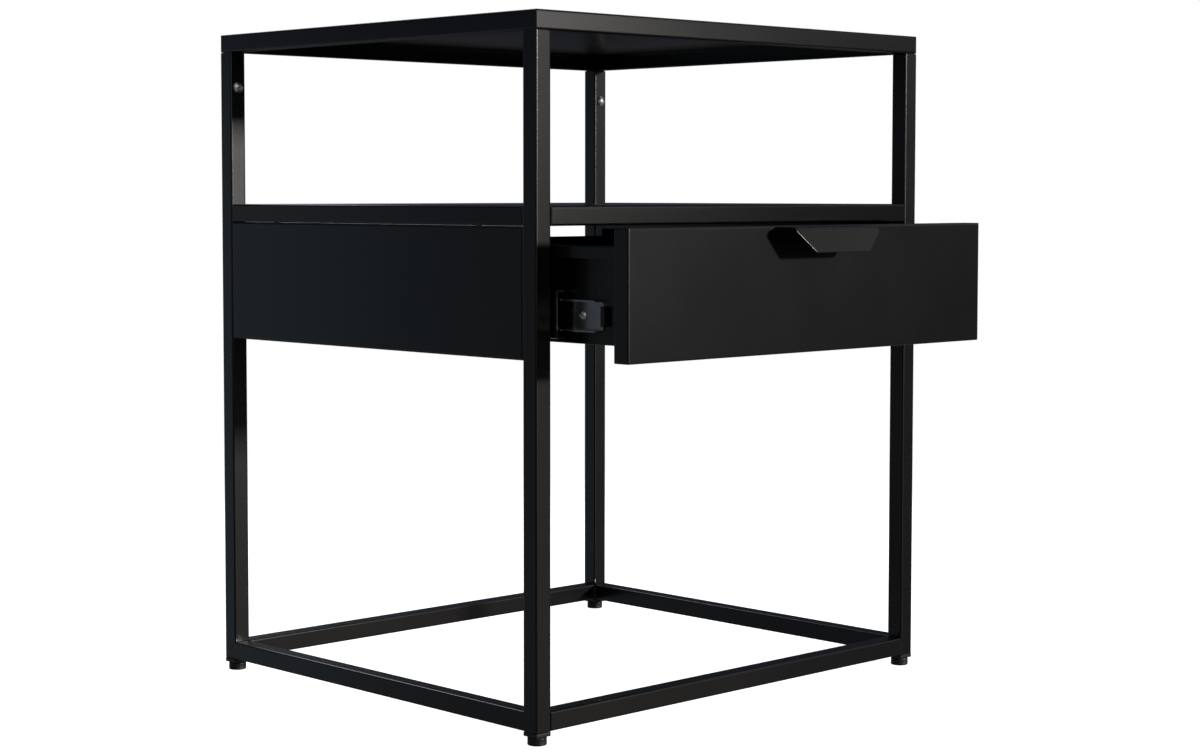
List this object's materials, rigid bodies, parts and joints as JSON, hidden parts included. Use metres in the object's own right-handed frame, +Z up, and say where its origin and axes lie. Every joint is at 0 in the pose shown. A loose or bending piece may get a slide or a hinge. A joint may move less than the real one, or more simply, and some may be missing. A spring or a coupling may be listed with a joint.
{
  "type": "side table",
  "caption": "Side table of black square steel tube with a folded sheet top, an open bay, a shelf and one shallow drawer on ball-bearing slides below it.",
  "frame": {"origin": "centre of the table's footprint, midway between the four posts, on the floor under the feet", "axes": "+Z up; -Y towards the front, where the drawer opens; +X to the right for someone who stands in front and faces the table"},
  "size_m": [0.45, 0.507, 0.55],
  "materials": {
    "black_steel": "satin black powder coat",
    "zinc_slide": "bright zinc plated sheet",
    "zinc_screws": "bright zinc plated",
    "ball_steel": "polished",
    "black_plastic": "moulded, fine matt"
  },
  "bodies": {
    "frame": {"front_left_post": "black_steel", "front_right_post": "black_steel", "rear_left_post": "black_steel", "rear_right_post": "black_steel", "front_lower_rail": "black_steel", "rear_lower_rail": "black_steel", "left_lower_rail": "black_steel", "right_lower_rail": "black_steel", "table_top": "black_steel", "top_spigots": "black_steel", "top_screws": "zinc_screws", "shelf": "black_steel", "shelf_screws": "zinc_screws", "left_side_panel": "black_steel", "right_side_panel": "black_steel", "left_slide_channel": "black_steel", "right_slide_channel": "black_steel", "front_left_plug": "black_plastic", "front_right_plug": "black_plastic", "rear_left_plug": "black_plastic", "rear_right_plug": "black_plastic", "left_outer_slide": "zinc_slide", "right_outer_slide": "zinc_slide", "outer_slide_screws": "zinc_screws"},
    "drawer": {"drawer_front": "black_steel", "drawer_handle": "black_steel", "drawer_inner_front": "black_steel", "drawer_left_side": "black_steel", "drawer_right_side": "black_steel", "drawer_back": "black_steel", "drawer_bottom": "black_steel", "drawer_front_screws": "zinc_screws", "left_inner_slide": "zinc_slide", "right_inner_slide": "zinc_slide", "inner_slide_screws": "zinc_screws", "slide_bumpers": "black_plastic"},
    "left_outer_cage": {"left_outer_cage": "zinc_slide", "left_outer_balls": "ball_steel"},
    "left_middle": {"left_middle_slide": "zinc_slide"},
    "left_inner_cage": {"left_inner_cage": "zinc_slide", "left_inner_balls": "ball_steel"},
    "right_outer_cage": {"right_outer_cage": "zinc_slide", "right_outer_balls": "ball_steel"},
    "right_middle": {"right_middle_slide": "zinc_slide"},
    "right_inner_cage": {"right_inner_cage": "zinc_slide", "right_inner_balls": "ball_steel"},
    "front_left_foot": {"front_left_foot": "black_plastic"},
    "front_right_foot": {"front_right_foot": "black_plastic"},
    "rear_left_foot": {"rear_left_foot": "black_plastic"},
    "rear_right_foot": {"rear_right_foot": "black_plastic"}
  },
  "joints": [
    {"name": "drawer_slide", "type": "slide", "parent": "frame", "child": "drawer", "axis": [0, -1, 0], "range_m": [-0.08, 0.17]},
    {"name": "left_outer_cage_slide", "type": "slide", "parent": "frame", "child": "left_outer_cage", "axis": [0, -1, 0], "range_m": [-0.02, 0.0425]},
    {"name": "left_middle_slide", "type": "slide", "parent": "frame", "child": "left_middle", "axis": [0, -1, 0], "range_m": [-0.04, 0.085]},
    {"name": "left_inner_cage_slide", "type": "slide", "parent": "frame", "child": "left_inner_cage", "axis": [0, -1, 0], "range_m": [-0.06, 0.1275]},
    {"name": "right_outer_cage_slide", "type": "slide", "parent": "frame", "child": "right_outer_cage", "axis": [0, -1, 0], "range_m": [-0.02, 0.0425]},
    {"name": "right_middle_slide", "type": "slide", "parent": "frame", "child": "right_middle", "axis": [0, -1, 0], "range_m": [-0.04, 0.085]},
    {"name": "right_inner_cage_slide", "type": "slide", "parent": "frame", "child": "right_inner_cage", "axis": [0, -1, 0], "range_m": [-0.06, 0.1275]},
    {"name": "front_left_foot_level", "type": "slide", "parent": "frame", "child": "front_left_foot", "axis": [0, 0, -1], "range_m": [0, 0.006]},
    {"name": "front_right_foot_level", "type": "slide", "parent": "frame", "child": "front_right_foot", "axis": [0, 0, -1], "range_m": [0, 0.006]},
    {"name": "rear_left_foot_level", "type": "slide", "parent": "frame", "child": "rear_left_foot", "axis": [0, 0, -1], "range_m": [0, 0.006]},
    {"name": "rear_right_foot_level", "type": "slide", "parent": "frame", "child": "rear_right_foot", "axis": [0, 0, -1], "range_m": [0, 0.006]}
  ],
  "couplings": [
    {"joint": "left_outer_cage_slide", "follows": "drawer_slide", "ratio": 0.25},
    {"joint": "left_middle_slide", "follows": "drawer_slide", "ratio": 0.5},
    {"joint": "left_inner_cage_slide", "follows": "drawer_slide", "ratio": 0.75},
    {"joint": "right_outer_cage_slide", "follows": "drawer_slide", "ratio": 0.25},
    {"joint": "right_middle_slide", "follows": "drawer_slide", "ratio": 0.5},
    {"joint": "right_inner_cage_slide", "follows": "drawer_slide", "ratio": 0.75}
  ]
}
